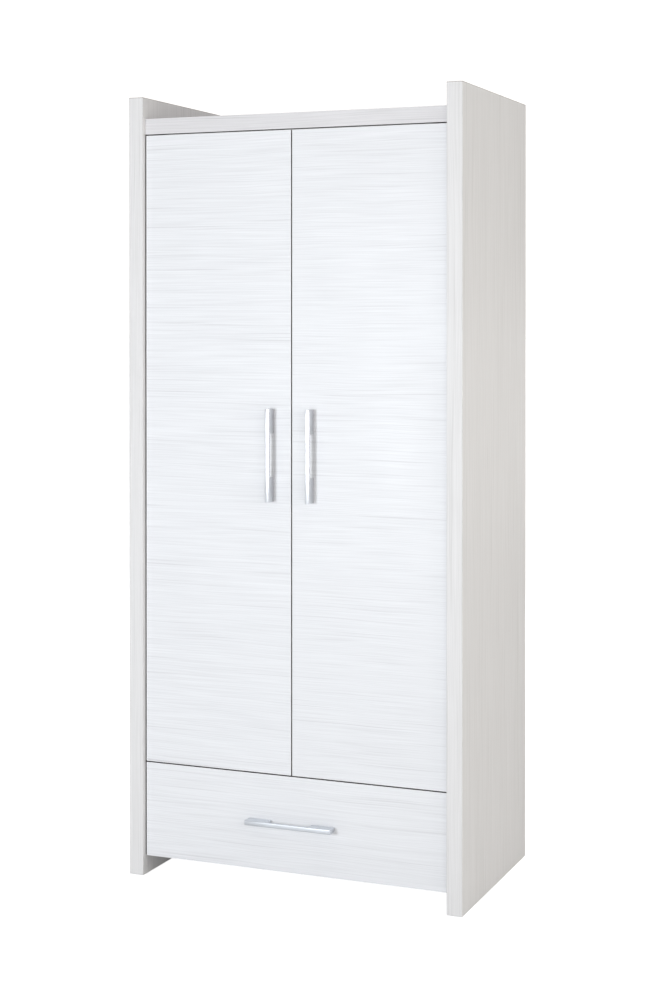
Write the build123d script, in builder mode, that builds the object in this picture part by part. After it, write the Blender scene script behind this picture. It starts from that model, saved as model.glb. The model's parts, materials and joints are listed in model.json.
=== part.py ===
"""A free-standing wardrobe with two doors above one full-width drawer.

Millimetres. +Z is up and the front faces -Y. The origin is on the floor, under the middle of the
wardrobe's bounding box, whose front is the handles' faces and whose rear is the wall side.
"""
from build123d import *
import os

# ---------------------------------------------------------------- driving dimensions
HEIGHT = 1900.0
WIDTH = 855.0
SIDE_DEPTH = 510.0
SIDE_THICK = 38.0
TOP_THICK = 38.0
TOP_DROP = 52.0            # the top panel sits this far below the tops of the side panels
RECESS = 12.0              # doors, drawer and top panel stand back this far from the side panels' fronts
GAP = 3.0                  # round each door and the drawer front
DOOR_THICK = 18.0
DOOR_BOTTOM = 281.0
DRAWER_BOTTOM = 50.0
BOARD = 16.0               # inner boards
GLIDE_HEIGHT = 3.0
EDGE_ROUND = 0.8

HANDLE_LENGTH = 220.0
HANDLE_WIDTH = 11.0
HANDLE_REACH = 28.0
HANDLE_GRIP = 104.0        # length of the finger gap
HANDLE_BAR = 7.0           # thickness of the bar in front of the finger gap
HANDLE_SPACING = 160.0     # screw to screw
HANDLE_OFFSET = 51.5       # door handle's middle to the wardrobe's middle
HANDLE_MIDDLE = 1038.0     # height of the door handles' middle
DRAWER_HANDLE_HEIGHT = 165.5

BACK_THICK = 3.0
GROOVE_WIDTH = 3.4
GROOVE_DEPTH = 8.0
BACK_INSET = 10.0          # solid wood behind the back panel's groove

HINGE_HEIGHTS = (381.0, 1044.0, 1707.0)
PIVOT_IN = 28.0            # hinge pivot, measured from the side panel's inner face
PIVOT_BACK = 9.0           # hinge pivot, measured back from the door's front face
CUP_IN = 26.0
CUP_RADIUS = 17.5
CUP_DEPTH = 12.5
CUP_WALL = 0.8
CUP_SCREW_RISE = 24.0
PIN_RADIUS = 1.25
ARM_THICK = 1.6
ARM_HALF_WIDTH = 6.0
PLATE_BACK = 57.0          # hinge plate's screw line, measured back from the door's front face
PLATE_SCREW_RISE = 16.0

SHELF_HEIGHT = 1530.0
PIN_HOLE_RADIUS = 2.5
RAIL_HEIGHT = 1476.0

DRAWER_SIDE_HEIGHT = 140.0
DRAWER_LENGTH = 450.0
DRAWER_BOX_BOTTOM = 80.0
RUNNER_SPACE = 12.5        # between each drawer side and the side panel
RUNNER_BASE = 70.0
RUNNER_SHEET = 1.2
RUNNER_HEIGHT = 34.0
ROLLER_RADIUS = 10.7
ROLLER_WIDTH = 6.0
ROLLER_PLAY = 0.3
ROLLER_PIN_RADIUS = 2.5

# ---------------------------------------------------------------- places worked out from them
REAR = (SIDE_DEPTH + HANDLE_REACH - RECESS) / 2
SIDE_FRONT = REAR - SIDE_DEPTH
DOOR_FRONT = SIDE_FRONT + RECESS
DOOR_BACK = DOOR_FRONT + DOOR_THICK
BOARD_FRONT = DOOR_BACK + 1.0
BACK_FRONT = REAR - BACK_INSET - GROOVE_WIDTH
INNER_X = WIDTH / 2 - SIDE_THICK
TOP_UPPER = HEIGHT - TOP_DROP
TOP_LOWER = TOP_UPPER - TOP_THICK
DOOR_TOP = TOP_LOWER - GAP
DRAWER_TOP = DOOR_BOTTOM - GAP
FLOOR_LOWER = (DOOR_BOTTOM + DRAWER_TOP) / 2 - BOARD / 2
FLOOR_UPPER = FLOOR_LOWER + BOARD
BASE_LOWER = DRAWER_BOTTOM + 2.0
STOP_RAIL_HEIGHT = 60.0
DRAWER_X = INNER_X - RUNNER_SPACE
DRAWER_REAR = DOOR_BACK + DRAWER_LENGTH
SIDES = {"left": -1, "right": 1}

os.makedirs("parts", exist_ok=True)


def finish(piece, label):
    """Name a finished piece and write its file."""
    piece.part.label = label
    export_step(piece.part, f"parts/{label}.step")


def slab(x, y, z):
    """A plain board between two values on each axis."""
    with BuildPart() as board:
        with BuildSketch(Plane.XY.offset(z[0])):
            with Locations(((x[0] + x[1]) / 2, (y[0] + y[1]) / 2)):
                Rectangle(abs(x[1] - x[0]), y[1] - y[0])
        extrude(amount=z[1] - z[0])
    return board.part


def copies(label, shape, planes):
    """Write one small piece, repeated as separate solids, one standing on each plane."""
    with BuildPart() as pieces:
        with Locations(*planes):
            add(shape)
    finish(pieces, label)


def facing(point, direction):
    """A plane at a point whose normal is the given direction."""
    return Plane(origin=point, z_dir=direction)


# ---------------------------------------------------------------- fasteners, each made once
def pan_screw(shank_radius, length, head_radius, head_height):
    """A pan-head screw: its head stands on z = 0 and its shank goes down to a point."""
    with BuildPart() as screw:
        with BuildSketch(Plane.XZ):
            with BuildLine():
                Polyline(
                    (0, head_height),
                    (head_radius * 0.6, head_height),
                    (head_radius, head_height * 0.4),
                    (head_radius, 0),
                    (shank_radius, 0),
                    (shank_radius, -length + 2 * shank_radius),
                    (0, -length),
                    close=True,
                )
            make_face()
        revolve(axis=Axis.Z)
        with BuildSketch(Plane.XY.offset(head_height)):
            Rectangle(head_radius, head_radius * 0.25)
            Rectangle(head_radius * 0.25, head_radius)
        extrude(amount=-head_height * 0.6, mode=Mode.SUBTRACT)
    return screw.part


def flat_screw(shank_radius, length, head_radius):
    """A countersunk screw: its flat head is level with z = 0 and its shank goes down to a point."""
    head_height = head_radius - shank_radius
    with BuildPart() as screw:
        with BuildSketch(Plane.XZ):
            with BuildLine():
                Polyline(
                    (0, 0),
                    (head_radius, 0),
                    (shank_radius, -head_height),
                    (shank_radius, -length + 2 * shank_radius),
                    (0, -length),
                    close=True,
                )
            make_face()
        revolve(axis=Axis.Z)
        with BuildSketch(Plane.XY):
            Rectangle(head_radius, head_radius * 0.25)
            Rectangle(head_radius * 0.25, head_radius)
        extrude(amount=-head_height * 0.6, mode=Mode.SUBTRACT)
    return screw.part


CAM_REACH = 24.0           # cam's middle to the end of its board
CAM_RADIUS = 7.5
CAM_DEPTH = 12.5
CAM_AXIS = 8.0             # bolt's axis to the face that the cam goes in by
BOLT_ROD_RADIUS = 3.5
BOLT_THREAD_RADIUS = 2.5
BOLT_THREAD_LENGTH = 11.0
BOLT_HEAD_ROOM = 3.0       # past the cam's middle, for the bolt's head
DOWEL_RADIUS = 4.0
DOWEL_IN_SIDE = 10.0
DOWEL_IN_BOARD = 20.0
FIT_PLAY = 0.05            # between a fastener and the wall of its hole


def cam_lock():
    """A cam lock: its slotted face is level with z = 0, its body goes down, and +X is the bolt's side."""
    with BuildPart() as cam:
        with BuildSketch(Plane.XY):
            Circle(CAM_RADIUS - FIT_PLAY)
        extrude(amount=-(CAM_DEPTH - FIT_PLAY))
        with BuildSketch(Plane.YZ.offset(-BOLT_HEAD_ROOM)):
            with Locations((0, -CAM_AXIS)):
                Circle(BOLT_ROD_RADIUS + 0.5)
        extrude(amount=BOLT_HEAD_ROOM + CAM_RADIUS, mode=Mode.SUBTRACT)
        with BuildSketch(Plane.XY):
            Rectangle(8.0, 1.6)
            Rectangle(1.6, 8.0)
        extrude(amount=-1.5, mode=Mode.SUBTRACT)
    return cam.part


def cam_bolt():
    """A cam bolt: z = 0 is the joint line, the thread goes down, and the rod and its head stand up."""
    with BuildPart() as bolt:
        with BuildSketch(Plane.XZ):
            with BuildLine():
                Polyline(
                    (0, CAM_REACH + 1.5),
                    (2.4, CAM_REACH + 1.5),
                    (2.4, CAM_REACH - 1.5),
                    (1.6, CAM_REACH - 2.5),
                    (1.6, CAM_REACH - 6.0),
                    (BOLT_ROD_RADIUS - FIT_PLAY, CAM_REACH - 8.0),
                    (BOLT_ROD_RADIUS - FIT_PLAY, 0),
                    (BOLT_THREAD_RADIUS - FIT_PLAY, 0),
                    (BOLT_THREAD_RADIUS - FIT_PLAY, -BOLT_THREAD_LENGTH + 1),
                    (BOLT_THREAD_RADIUS - 1, -BOLT_THREAD_LENGTH),
                    (0, -BOLT_THREAD_LENGTH),
                    close=True,
                )
            make_face()
        revolve(axis=Axis.Z)
    return bolt.part


def dowel():
    """A grooved wooden dowel across a joint at z = 0: its longer half stands up."""
    with BuildPart() as pin:
        with BuildSketch(Plane.XY.offset(-DOWEL_IN_SIDE + 0.5)):
            Circle(DOWEL_RADIUS - FIT_PLAY)
            with PolarLocations(DOWEL_RADIUS, 12):
                Circle(0.4, mode=Mode.SUBTRACT)
        extrude(amount=DOWEL_IN_SIDE + DOWEL_IN_BOARD - 1.0)
    return pin.part


# Each fixed board meets both side panels on one line of cams and dowels: height, cam y's, dowel y's.
JOINT_LINES = {
    "top": (TOP_LOWER + CAM_AXIS, (-170.0, 190.0), (-138.0, 158.0)),
    "floor": (FLOOR_LOWER + CAM_AXIS, (-150.0, 190.0), (-118.0, 158.0)),
    "base": (BASE_LOWER + CAM_AXIS, (-150.0, 190.0), (-118.0, 158.0)),
}
STOP_RAIL_Y = (BOARD_FRONT, BOARD_FRONT + BOARD)
STOP_RAIL_DOWELS = (-280.0, -95.0, 95.0, 280.0)    # x of the dowels that hang the rail from the top panel


def cam_places():
    """Every carcass cam joint as side, y, z of the bolt's axis."""
    return [(side, y, z) for side in SIDES.values() for z, cams, _ in JOINT_LINES.values() for y in cams]


def dowel_places():
    """Every dowel into a side panel as side, y, z of its axis."""
    return [(side, y, z) for side in SIDES.values() for z, _, dowels in JOINT_LINES.values() for y in dowels]


def stop_rail_planes(direction):
    """The tops of the stop rail's dowel holes, facing up or down."""
    return [facing((x, sum(STOP_RAIL_Y) / 2, TOP_LOWER), (0, 0, direction)) for x in STOP_RAIL_DOWELS]


def joined_board(x, y, z, line):
    """A board between the side panels, bored at both ends for its cams, bolts and dowels."""
    height, cams, dowels = JOINT_LINES[line]
    with BuildPart() as board:
        add(slab(x, y, z))
        for side in SIDES.values():
            with Locations(*[facing((side * INNER_X, place, height), (side, 0, 0)) for place in cams]):
                Hole(BOLT_ROD_RADIUS, CAM_REACH + 4)
            with Locations(*[facing((side * INNER_X, place, height), (side, 0, 0)) for place in dowels]):
                Hole(DOWEL_RADIUS, DOWEL_IN_BOARD)
            cam_x = side * (INNER_X - CAM_REACH)
            with Locations(*[facing((cam_x, place, z[0]), (0, 0, -1)) for place in cams]):
                Hole(CAM_RADIUS, CAM_DEPTH)
    return board.part


# ---------------------------------------------------------------- side panels
PIN_ROWS = (-165.0, 200.0)             # y of the two rows of shelf-pin holes
PIN_STEPS = (-64.0, -32.0, 0.0, 32.0, 64.0)
PIN_HOLE_DEPTH = 12.0
SHELF_PIN_HEIGHT = SHELF_HEIGHT - PIN_HOLE_RADIUS
PANEL_SCREW_RADIUS = 1.75
PANEL_SCREW_LENGTH = 15.0
RAIL_SCREW_RISE = 23.0
RUNNER_SCREW_PLACES = (-170.0, 0.0, 190.0)
RUNNER_SCREW_HEIGHT = RUNNER_BASE + RUNNER_HEIGHT / 2
PLATE_SCREW_RADIUS = 2.5
PLATE_SCREW_DEPTH = 11.0
GLIDE_PLACES = (SIDE_FRONT + 30.0, REAR - 30.0)
NAIL_RADIUS = 1.0


def inner_plane(side, y, z):
    """A plane on a side panel's inner face, facing the inside of the wardrobe."""
    return facing((side * INNER_X, y, z), (-side, 0, 0))


for name, side in SIDES.items():
    with BuildPart() as side_panel:
        with BuildSketch(Plane.XY.offset(GLIDE_HEIGHT)):
            with Locations((side * (INNER_X + SIDE_THICK / 2), (SIDE_FRONT + REAR) / 2)):
                Rectangle(SIDE_THICK, SIDE_DEPTH)
        extrude(amount=HEIGHT - GLIDE_HEIGHT)
        fillet(side_panel.edges(), EDGE_ROUND)
        with BuildSketch(Plane.XY.offset(BASE_LOWER - 2)):
            with Locations((side * (INNER_X + GROOVE_DEPTH / 2), BACK_FRONT + GROOVE_WIDTH / 2)):
                Rectangle(GROOVE_DEPTH, GROOVE_WIDTH)
        extrude(amount=TOP_LOWER + GROOVE_DEPTH - BASE_LOWER + 2, mode=Mode.SUBTRACT)
        with Locations(*[inner_plane(s, y, z) for s, y, z in cam_places() if s == side]):
            Hole(BOLT_THREAD_RADIUS, BOLT_THREAD_LENGTH + 1)
        with Locations(*[inner_plane(s, y, z) for s, y, z in dowel_places() if s == side]):
            Hole(DOWEL_RADIUS, DOWEL_IN_SIDE)
        with Locations(*[
            inner_plane(side, y, SHELF_PIN_HEIGHT + step) for y in PIN_ROWS for step in PIN_STEPS
        ]):
            Hole(PIN_HOLE_RADIUS, PIN_HOLE_DEPTH)
        with Locations(*[
            inner_plane(side, DOOR_FRONT + PLATE_BACK, height + rise)
            for height in HINGE_HEIGHTS
            for rise in (-PLATE_SCREW_RISE, PLATE_SCREW_RISE)
        ]):
            Hole(PLATE_SCREW_RADIUS, PLATE_SCREW_DEPTH)
        with Locations(*[inner_plane(side, y, RUNNER_SCREW_HEIGHT) for y in RUNNER_SCREW_PLACES]):
            Hole(PANEL_SCREW_RADIUS, PANEL_SCREW_LENGTH)
        with Locations(*[
            inner_plane(side, 0, RAIL_HEIGHT + rise) for rise in (-RAIL_SCREW_RISE, RAIL_SCREW_RISE)
        ]):
            Hole(PANEL_SCREW_RADIUS, PANEL_SCREW_LENGTH)
        with Locations(*[
            facing((side * (INNER_X + SIDE_THICK / 2), y, GLIDE_HEIGHT), (0, 0, -1)) for y in GLIDE_PLACES
        ]):
            Hole(NAIL_RADIUS, 14.0)
    finish(side_panel, f"side_panel_{name}")

# ---------------------------------------------------------------- boards between the side panels
BRACKET_SCREW_X = 20.0
BRACKET_SCREW_Y = REAR - 22.0
SWING_ROOM = (44.0, 20.0)  # beside each side panel, and back from the boards' fronts: a door turns here

with BuildPart() as top_panel:
    add(joined_board((-INNER_X, INNER_X), (DOOR_FRONT, REAR), (TOP_LOWER, TOP_UPPER), "top"))
    fillet(top_panel.edges().filter_by(Axis.X).group_by(Axis.Y)[0], EDGE_ROUND)
    with BuildSketch(Plane.XY.offset(TOP_LOWER)):
        with Locations((0, BACK_FRONT + GROOVE_WIDTH / 2)):
            Rectangle(2 * INNER_X, GROOVE_WIDTH)
    extrude(amount=GROOVE_DEPTH, mode=Mode.SUBTRACT)
    with Locations(*[
        facing((x, BRACKET_SCREW_Y, TOP_UPPER), (0, 0, 1)) for x in (-BRACKET_SCREW_X, BRACKET_SCREW_X)
    ]):
        Hole(PANEL_SCREW_RADIUS, PANEL_SCREW_LENGTH)
    with Locations(*stop_rail_planes(-1)):
        Hole(DOWEL_RADIUS, DOWEL_IN_SIDE)
finish(top_panel, "top_panel")

NAIL_X = (-330.0, -200.0, -70.0, 70.0, 200.0, 330.0)
NAIL_LENGTH = 18.0
for name, low, line in (("floor_panel", FLOOR_LOWER, "floor"), ("base_panel", BASE_LOWER, "base")):
    with BuildPart() as lower_board:
        add(joined_board((-INNER_X, INNER_X), (BOARD_FRONT, BACK_FRONT), (low, low + BOARD), line))
        with Locations(*[facing((x, BACK_FRONT, low + BOARD / 2), (0, 1, 0)) for x in NAIL_X]):
            Hole(NAIL_RADIUS, NAIL_LENGTH)
        if name == "floor_panel":
            for side in SIDES.values():
                notch_x = sorted((side * INNER_X, side * (INNER_X - SWING_ROOM[0])))
                notch_y = (BOARD_FRONT, BOARD_FRONT + SWING_ROOM[1])
                add(slab(notch_x, notch_y, (low, low + BOARD)), mode=Mode.SUBTRACT)
    finish(lower_board, name)

with BuildPart() as stop_rail:
    rail_end = INNER_X - SWING_ROOM[0]
    add(slab((-rail_end, rail_end), STOP_RAIL_Y, (TOP_LOWER - STOP_RAIL_HEIGHT, TOP_LOWER)))
    with Locations(*stop_rail_planes(1)):
        Hole(DOWEL_RADIUS, DOWEL_IN_BOARD)
finish(stop_rail, "stop_rail")

# ---------------------------------------------------------------- back
BACK_Y = (BACK_FRONT + 0.2, BACK_FRONT + 0.2 + BACK_THICK)
JOINER_WEB = 1.2
JOINER_WIDTH = 16.0
JOINER_SHEET = 1.0

for name, side in SIDES.items():
    with BuildPart() as back_panel:
        add(slab(
            sorted((side * (JOINER_WEB / 2 + 0.2), side * (INNER_X + GROOVE_DEPTH - 1))),
            BACK_Y,
            (BASE_LOWER, TOP_LOWER + GROOVE_DEPTH - 1),
        ))
        nail_planes = [
            facing((x, BACK_Y[1], z), (0, 1, 0))
            for x in NAIL_X
            for z in (FLOOR_LOWER + BOARD / 2, BASE_LOWER + BOARD / 2)
            if x * side > 0
        ]
        with Locations(*nail_planes):
            Hole(NAIL_RADIUS, BACK_THICK)
    finish(back_panel, f"back_panel_{name}")

with BuildPart() as back_joiner:
    with BuildSketch(Plane.XY.offset(FLOOR_UPPER + 1)):
        with Locations((0, sum(BACK_Y) / 2)):
            Rectangle(JOINER_WEB, BACK_THICK + 2 * JOINER_SHEET)
        for y in (BACK_Y[0] - 0.1 - JOINER_SHEET / 2, BACK_Y[1] + 0.1 + JOINER_SHEET / 2):
            with Locations((0, y)):
                Rectangle(JOINER_WIDTH, JOINER_SHEET)
    extrude(amount=TOP_LOWER - FLOOR_UPPER - 2)
finish(back_joiner, "back_joiner")

nail = pan_screw(NAIL_RADIUS - FIT_PLAY, NAIL_LENGTH, 2.0, 0.8)
copies("back_nails", nail, [
    facing((x, BACK_Y[1], z), (0, 1, 0))
    for x in NAIL_X
    for z in (FLOOR_LOWER + BOARD / 2, BASE_LOWER + BOARD / 2)
])

# ---------------------------------------------------------------- carcass fasteners and feet
copies("cam_bolts", cam_bolt(), [
    Plane(origin=(side * INNER_X, y, z), x_dir=(0, 1, 0), z_dir=(-side, 0, 0)) for side, y, z in cam_places()
])
copies("cam_locks", cam_lock(), [
    Plane(origin=(side * (INNER_X - CAM_REACH), y, z - CAM_AXIS), x_dir=(side, 0, 0), z_dir=(0, 0, -1))
    for side, y, z in cam_places()
])
side_dowels = [inner_plane(side, y, z) for side, y, z in dowel_places()]
copies("dowels", dowel(), side_dowels + stop_rail_planes(-1))

GLIDE_RADIUS = 12.0
with BuildPart() as glide:
    with BuildSketch(Plane.XY):
        Circle(GLIDE_RADIUS)
    extrude(amount=GLIDE_HEIGHT)
    chamfer(glide.edges().group_by(Axis.Z)[0], 0.8)
    with BuildSketch(Plane.XY.offset(GLIDE_HEIGHT)):
        Circle(NAIL_RADIUS - FIT_PLAY)
    extrude(amount=12.0)
copies("glides", glide.part, [
    facing((side * (INNER_X + SIDE_THICK / 2), y, 0), (0, 0, 1))
    for side in SIDES.values()
    for y in GLIDE_PLACES
])

# ---------------------------------------------------------------- shelf, clothes rail, wall bracket
SHELF_PLAY = 1.0
with BuildPart() as hat_shelf:
    add(slab(
        (-INNER_X + SHELF_PLAY, INNER_X - SHELF_PLAY),
        (-195.0, BACK_FRONT - 6.0),
        (SHELF_HEIGHT, SHELF_HEIGHT + BOARD),
    ))
    fillet(hat_shelf.edges().filter_by(Axis.X).group_by(Axis.Y)[0], EDGE_ROUND)
finish(hat_shelf, "hat_shelf")

with BuildPart() as shelf_pin:
    with BuildSketch(Plane.XY.offset(-PIN_HOLE_DEPTH + 1)):
        Circle(PIN_HOLE_RADIUS - FIT_PLAY)
    extrude(amount=PIN_HOLE_DEPTH - 1 + 9)
    with BuildSketch(Plane.XY):
        Circle(4.0)
        with Locations((0, PIN_HOLE_RADIUS + 2)):
            Rectangle(10, 4, mode=Mode.SUBTRACT)
    extrude(amount=0.9)
copies("shelf_pins", shelf_pin.part, [
    Plane(origin=(side * INNER_X, y, SHELF_PIN_HEIGHT), x_dir=(0, side, 0), z_dir=(-side, 0, 0))
    for side in SIDES.values()
    for y in PIN_ROWS
])

RAIL_TALL = 30.0
RAIL_WIDE = 15.0
RAIL_WALL = 1.0
RAIL_END_PLAY = 3.5
CUP_PLATE = 3.0
with BuildPart() as clothes_rail:
    with BuildSketch(Plane.YZ.offset(-INNER_X + RAIL_END_PLAY)):
        with Locations((0, RAIL_HEIGHT)):
            SlotOverall(RAIL_TALL, RAIL_WIDE, rotation=90)
            hollow = (RAIL_TALL - 2 * RAIL_WALL, RAIL_WIDE - 2 * RAIL_WALL)
            SlotOverall(*hollow, rotation=90, mode=Mode.SUBTRACT)
    extrude(amount=2 * (INNER_X - RAIL_END_PLAY))
finish(clothes_rail, "clothes_rail")

with BuildPart() as rail_cup:
    with BuildSketch(Plane.XY):
        SlotOverall(62, 26, rotation=90)
        with Locations((0, -RAIL_SCREW_RISE), (0, RAIL_SCREW_RISE)):
            Circle(PANEL_SCREW_RADIUS + 0.2, mode=Mode.SUBTRACT)
    extrude(amount=CUP_PLATE)
    with BuildSketch(Plane.XY.offset(CUP_PLATE)):
        SlotOverall(RAIL_TALL + 5, RAIL_WIDE + 5, rotation=90)
        SlotOverall(RAIL_TALL + 0.6, RAIL_WIDE + 0.6, rotation=90, mode=Mode.SUBTRACT)
        with Locations((0, RAIL_TALL)):
            Rectangle(RAIL_WIDE + 0.6, 2 * RAIL_TALL, mode=Mode.SUBTRACT)
    extrude(amount=10.0)
copies("rail_brackets", rail_cup.part, [
    Plane(origin=(side * INNER_X, 0, RAIL_HEIGHT), x_dir=(0, side, 0), z_dir=(-side, 0, 0))
    for side in SIDES.values()
])

BRACKET_SHEET = 2.0
BRACKET_WIDTH = 64.0
BRACKET_LEG = 40.0
WALL_HOLE_RADIUS = 2.75
WALL_HOLE_HEIGHT = TOP_UPPER + 26.0
with BuildPart() as wall_bracket:
    with BuildSketch(Plane.YZ.offset(-BRACKET_WIDTH / 2)):
        with BuildLine():
            Polyline(
                (REAR, TOP_UPPER),
                (REAR, TOP_UPPER + BRACKET_LEG),
                (REAR - BRACKET_SHEET, TOP_UPPER + BRACKET_LEG),
                (REAR - BRACKET_SHEET, TOP_UPPER + BRACKET_SHEET),
                (REAR - BRACKET_LEG, TOP_UPPER + BRACKET_SHEET),
                (REAR - BRACKET_LEG, TOP_UPPER),
                close=True,
            )
        make_face()
    extrude(amount=BRACKET_WIDTH)
    upright_corners = wall_bracket.edges().filter_by(Axis.Y).group_by(Axis.Z)[-1]
    flat_corners = wall_bracket.edges().filter_by(Axis.Z).group_by(Axis.Y)[0]
    fillet(upright_corners + flat_corners, 6.0)
    with Locations(*[facing((x, BRACKET_SCREW_Y, TOP_UPPER + BRACKET_SHEET), (0, 0, 1))
                     for x in (-BRACKET_SCREW_X, BRACKET_SCREW_X)]):
        Hole(PANEL_SCREW_RADIUS + 0.2, BRACKET_SHEET)
    with Locations(*[
        facing((x, REAR, WALL_HOLE_HEIGHT), (0, 1, 0)) for x in (-BRACKET_SCREW_X, BRACKET_SCREW_X)
    ]):
        Hole(WALL_HOLE_RADIUS, BRACKET_SHEET)
finish(wall_bracket, "wall_bracket")

# ---------------------------------------------------------------- hinges on the carcass side
PLATE_TOP = 11.2           # how far the arm's tail stands off the side panel
PLATE_BASE = 2.5
ARM_TAIL = 72.0            # rear end of the arm, measured back from the door's front face
ARM_SCREW_BACK = 64.0
EYE_RADIUS = 2.4
EYE_PLAY = 0.05


def hinge_point(side, inward, back):
    """A point in plan: distance in from a side panel's inner face, and back from the door's face."""
    return (side * (INNER_X - inward), DOOR_FRONT + back)


def hinge_arm(side):
    """A cranked strip from the pivot, out of the cup and round the door's edge, back to its plate."""
    route = [
        hinge_point(side, PIVOT_IN, PIVOT_BACK),
        hinge_point(side, 39.8, 20.0),
        hinge_point(side, 46.0, 26.0),
        hinge_point(side, 44.0, 42.0),
        hinge_point(side, PLATE_TOP + ARM_THICK / 2, 42.0),
        hinge_point(side, PLATE_TOP + ARM_THICK / 2, ARM_TAIL),
    ]
    screw_point = hinge_point(side, PLATE_TOP + ARM_THICK, ARM_SCREW_BACK)
    with BuildPart() as arm:
        with BuildSketch(Plane.XY.offset(-ARM_HALF_WIDTH)):
            with BuildLine():
                FilletPolyline(*route, radius=(3, 5, 5, 4))
            trace(line_width=ARM_THICK)
            with Locations(route[0]):
                Circle(EYE_RADIUS)
                Circle(PIN_RADIUS + EYE_PLAY, mode=Mode.SUBTRACT)
        extrude(amount=2 * ARM_HALF_WIDTH)
        with Locations(facing((screw_point[0], screw_point[1], 0), (-side, 0, 0))):
            Hole(2.1, ARM_THICK)
    return arm.part


def hinge_plate(side):
    """A mounting plate: screw wings flat on the side panel and a raised block under the arm's tail."""
    with BuildPart() as plate:
        low = hinge_point(side, PLATE_BASE, PLATE_BACK - 7)
        high = hinge_point(side, 0, PLATE_BACK + 7)
        add(slab(sorted((low[0], high[0])), (low[1], high[1]), (-25, 25)))
        fillet(plate.edges().filter_by(Axis.X), 5.0)
        low = hinge_point(side, PLATE_TOP, PLATE_BACK - 11)
        high = hinge_point(side, 0, ARM_TAIL)
        add(slab(sorted((low[0], high[0])), (low[1], high[1]), (-5, 5)))
        wing_x = side * (INNER_X - PLATE_BASE)
        with Locations(*[
            facing((wing_x, DOOR_FRONT + PLATE_BACK, rise), (-side, 0, 0))
            for rise in (-PLATE_SCREW_RISE, PLATE_SCREW_RISE)
        ]):
            Hole(PLATE_SCREW_RADIUS + 0.2, PLATE_BASE)
        block_x = side * (INNER_X - PLATE_TOP)
        with Locations(facing((block_x, DOOR_FRONT + ARM_SCREW_BACK, 0), (-side, 0, 0))):
            Hole(2.0, 9.0)
    return plate.part


def on_hinges(shapes):
    """One copy of a side's shape at each hinge height, on both sides."""
    with BuildPart() as group:
        for shape in shapes:
            with Locations(*[(0, 0, height) for height in HINGE_HEIGHTS]):
                add(shape)
    return group


finish(on_hinges([hinge_arm(side) for side in SIDES.values()]), "hinge_arms")
finish(on_hinges([hinge_plate(side) for side in SIDES.values()]), "hinge_plates")

plate_screw = pan_screw(PLATE_SCREW_RADIUS - FIT_PLAY, PLATE_BASE + PLATE_SCREW_DEPTH - 0.5, 3.6, 1.8)
copies("hinge_plate_screws", plate_screw, [
    facing((side * (INNER_X - PLATE_BASE), DOOR_FRONT + PLATE_BACK, height + rise), (-side, 0, 0))
    for side in SIDES.values()
    for height in HINGE_HEIGHTS
    for rise in (-PLATE_SCREW_RISE, PLATE_SCREW_RISE)
])
arm_screw = pan_screw(2.0 - FIT_PLAY, 8.0, 3.6, 2.0)
copies("hinge_arm_screws", arm_screw, [
    facing((side * (INNER_X - PLATE_TOP - ARM_THICK), DOOR_FRONT + ARM_SCREW_BACK, height), (-side, 0, 0))
    for side in SIDES.values()
    for height in HINGE_HEIGHTS
])


# ---------------------------------------------------------------- handles
def handle():
    """A bar handle with a long foot at each end: it stands on z = 0 and lies along X."""
    with BuildPart() as bar:
        with BuildSketch(Plane.XZ.offset(-HANDLE_WIDTH / 2)):
            with Locations((0, HANDLE_REACH / 2)):
                Rectangle(HANDLE_LENGTH, HANDLE_REACH)
            with Locations((0, (HANDLE_REACH - HANDLE_BAR) / 2)):
                grip = Rectangle(HANDLE_GRIP, HANDLE_REACH - HANDLE_BAR, mode=Mode.SUBTRACT)
            fillet(grip.vertices().group_by(Axis.Z)[-1], 2.0)
        extrude(amount=HANDLE_WIDTH)
        fillet(bar.edges().group_by(Axis.Z)[-1], 1.2)
        with Locations(*[facing((x, 0, 0), (0, 0, -1)) for x in (-HANDLE_SPACING / 2, HANDLE_SPACING / 2)]):
            Hole(2.0, 14.0)
    return bar.part


def handle_plane(x, z, along):
    """Where a handle stands: on a front face, lying along the given direction."""
    return Plane(origin=(x, DOOR_FRONT, z), x_dir=along, z_dir=(0, -1, 0))


handle_shape = handle()
HANDLE_SCREW_RADIUS = 2.0
handle_screw = pan_screw(HANDLE_SCREW_RADIUS - FIT_PLAY, DOOR_THICK + 12.0, 4.5, 2.4)

# ---------------------------------------------------------------- doors
DOOR_X = (GAP / 2, INNER_X - GAP)
CUP_FLOOR = DOOR_THICK - CUP_DEPTH
CUP_FLANGE = 1.2
CUP_SCREW_RADIUS = 1.75
CUP_SCREW_LENGTH = 12.0
HANDLE_RISES = (-HANDLE_SPACING / 2, HANDLE_SPACING / 2)


def door_back_plane(side, inward, height, back=DOOR_THICK):
    """A plane facing the inside of the wardrobe, behind a door and beside its side panel."""
    x, y = hinge_point(side, inward, back)
    return Plane(origin=(x, y, height), x_dir=(-1, 0, 0), z_dir=(0, 1, 0))


with BuildPart() as cup:
    with BuildSketch(Plane.XY):
        Circle(CUP_RADIUS + 1.5)
        SlotOverall(2 * CUP_SCREW_RISE + 14, 14, rotation=90)
        with Locations((0, -CUP_SCREW_RISE), (0, CUP_SCREW_RISE)):
            Circle(CUP_SCREW_RADIUS + 0.2, mode=Mode.SUBTRACT)
    extrude(amount=CUP_FLANGE)
    with BuildSketch(Plane.XY):
        Circle(CUP_RADIUS - FIT_PLAY)
    extrude(amount=-(CUP_DEPTH - FIT_PLAY))
    with BuildSketch(Plane.XY.offset(CUP_FLANGE)):
        Circle(CUP_RADIUS - CUP_WALL)
    extrude(amount=-(CUP_DEPTH - CUP_WALL + CUP_FLANGE), mode=Mode.SUBTRACT)

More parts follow.
